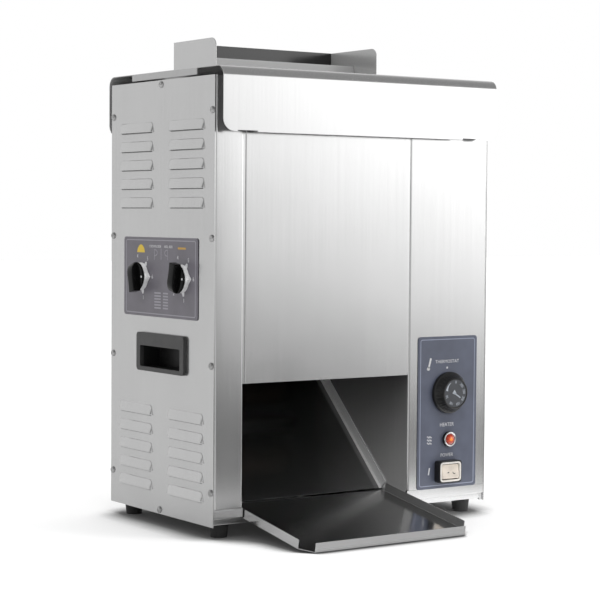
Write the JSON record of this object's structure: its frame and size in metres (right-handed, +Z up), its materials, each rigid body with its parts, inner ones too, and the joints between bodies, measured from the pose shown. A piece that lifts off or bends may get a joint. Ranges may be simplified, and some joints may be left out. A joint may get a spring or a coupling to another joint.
{
  "type": "vertical bun toaster",
  "caption": "Upright stainless bun toaster with drop-in slots on top, belts beside a hot plate, knobs on the side and a landing tray in front.",
  "frame": {"origin": "on the supporting surface, under the middle of the whole toaster's bounding box", "axes": "+Z up, the front with the landing tray faces -Y, +X to the right as seen from the front"},
  "size_m": [0.46, 0.414, 0.6296],
  "materials": {
    "brushed_sheet": "fine brushed stainless",
    "bright_sheet": "bright polished stainless",
    "foot_rubber": "moulded",
    "platen_metal": "machined",
    "dark_steel": "plain steel",
    "roller_metal": "turned",
    "release_cloth": "coated cloth",
    "belt_rubber": "ribbed silicone",
    "motor_paint": "satin",
    "gearbox_metal": "cast",
    "grey_plate": "satin print",
    "blue_grey_plate": "satin print",
    "black_plastic": "moulded",
    "white_plastic": "moulded",
    "cream_plastic": "moulded",
    "lamp_chrome": "polished",
    "amber_lens": "clear tinted",
    "pale_ceramic": "glazed"
  },
  "bodies": {
    "casing": {"base_pan": "brushed_sheet", "foot_front_left": "foot_rubber", "foot_front_right": "foot_rubber", "foot_rear_left": "foot_rubber", "foot_rear_right": "foot_rubber", "left_frame_channel": "brushed_sheet", "right_frame_channel": "brushed_sheet", "left_side_cover": "brushed_sheet", "right_side_cover": "brushed_sheet", "front_conveyor_cover": "brushed_sheet", "rear_conveyor_cover": "brushed_sheet", "chute_slide": "bright_sheet", "platen_front_plate": "platen_metal", "platen_rear_plate": "platen_metal", "heating_element_1": "dark_steel", "heating_element_2": "dark_steel", "heating_element_3": "dark_steel", "release_sheet": "release_cloth", "motor_bracket": "brushed_sheet", "gearbox": "gearbox_metal", "gear_motor": "motor_paint", "drive_chain": "dark_steel", "compression_plate": "grey_plate", "control_plate": "blue_grey_plate", "thermostat_body": "pale_ceramic", "heater_lamp_bezel": "lamp_chrome", "heater_lamp_lens": "amber_lens", "power_switch_housing": "black_plastic", "left_handle": "black_plastic", "right_handle": "black_plastic", "terminal_block": "pale_ceramic", "cable_gland": "black_plastic"},
    "landing_tray": {"landing_tray": "bright_sheet"},
    "top_cover": {"top_cover": "brushed_sheet"},
    "bun_feeder": {"bun_feeder": "brushed_sheet", "feeder_divider": "brushed_sheet"},
    "thermostat_knob": {"thermostat_knob": "black_plastic"},
    "power_rocker": {"power_rocker": "cream_plastic"},
    "crown_knob": {"crown_knob": "black_plastic", "crown_knob_pointer": "white_plastic", "crown_cam_shaft": "dark_steel"},
    "heel_knob": {"heel_knob": "black_plastic", "heel_knob_pointer": "white_plastic", "heel_cam_shaft": "dark_steel"},
    "front_conveyor": {"front_conveyor_frame": "brushed_sheet", "front_belt": "belt_rubber"},
    "rear_conveyor": {"rear_conveyor_frame": "brushed_sheet", "rear_belt": "belt_rubber"},
    "front_idler": {"front_idler_roller": "roller_metal"},
    "rear_idler": {"rear_idler_roller": "roller_metal"},
    "front_drive": {"front_drive_roller": "roller_metal", "front_drive_gear": "dark_steel"},
    "rear_drive": {"rear_drive_roller": "roller_metal", "rear_drive_gear": "dark_steel", "rear_drive_sprocket": "dark_steel"},
    "motor_shaft": {"motor_sprocket": "dark_steel"}
  },
  "joints": [
    {"name": "tray_slide", "type": "slide", "parent": "casing", "child": "landing_tray", "axis": [0, -1, 0], "range_m": [0, 0.2]},
    {"name": "cover_lift", "type": "slide", "parent": "casing", "child": "top_cover", "axis": [0, 0, 1], "range_m": [0, 0.12]},
    {"name": "feeder_lift", "type": "slide", "parent": "top_cover", "child": "bun_feeder", "axis": [0, 0, 1], "range_m": [0, 0.06]},
    {"name": "thermostat_turn", "type": "hinge", "parent": "casing", "child": "thermostat_knob", "pos_m": [0.1597, -0.06699, 0.167], "axis": [0, 1, 0], "range_deg": [-120, 120]},
    {"name": "power_rock", "type": "hinge", "parent": "casing", "child": "power_rocker", "pos_m": [0.1567, -0.07539, 0.061], "axis": [1, 0, 0], "range_deg": [0, 16]},
    {"name": "crown_knob_turn", "type": "hinge", "parent": "casing", "child": "crown_knob", "pos_m": [-0.2113, 0.11151, 0.3228], "axis": [1, 0, 0], "range_deg": [-120, 180]},
    {"name": "heel_knob_turn", "type": "hinge", "parent": "casing", "child": "heel_knob", "pos_m": [-0.2113, 0.00851, 0.3228], "axis": [1, 0, 0], "range_deg": [-120, 180]},
    {"name": "rear_conveyor_tilt", "type": "hinge", "parent": "casing", "child": "rear_conveyor", "pos_m": [-0.03755, 0.11151, 0.262], "axis": [1, 0, 0], "range_deg": [-1.13, 1.7]},
    {"name": "front_conveyor_tilt", "type": "hinge", "parent": "casing", "child": "front_conveyor", "pos_m": [-0.03755, 0.00851, 0.262], "axis": [1, 0, 0], "range_deg": [-1.7, 1.13]},
    {"name": "rear_drive_spin", "type": "hinge", "parent": "casing", "child": "rear_drive", "pos_m": [-0.03755, 0.11151, 0.262], "axis": [1, 0, 0], "continuous": true},
    {"name": "front_drive_spin", "type": "hinge", "parent": "casing", "child": "front_drive", "pos_m": [-0.03755, 0.00851, 0.262], "axis": [1, 0, 0], "continuous": true},
    {"name": "rear_idler_spin", "type": "hinge", "parent": "rear_conveyor", "child": "rear_idler", "pos_m": [-0.03755, 0.11151, 0.545], "axis": [1, 0, 0], "continuous": true},
    {"name": "front_idler_spin", "type": "hinge", "parent": "front_conveyor", "child": "front_idler", "pos_m": [-0.03755, 0.00851, 0.545], "axis": [1, 0, 0], "continuous": true},
    {"name": "motor_spin", "type": "hinge", "parent": "casing", "child": "motor_shaft", "pos_m": [0.1137, 0.11151, 0.13], "axis": [1, 0, 0], "continuous": true}
  ],
  "couplings": [
    {"joint": "rear_conveyor_tilt", "follows": "crown_knob_turn", "ratio": 0.0094236},
    {"joint": "front_conveyor_tilt", "follows": "heel_knob_turn", "ratio": -0.0094236},
    {"joint": "front_drive_spin", "follows": "rear_drive_spin", "ratio": -1},
    {"joint": "rear_idler_spin", "follows": "rear_drive_spin", "ratio": 1},
    {"joint": "front_idler_spin", "follows": "rear_drive_spin", "ratio": -1},
    {"joint": "motor_spin", "follows": "rear_drive_spin", "ratio": 2}
  ]
}
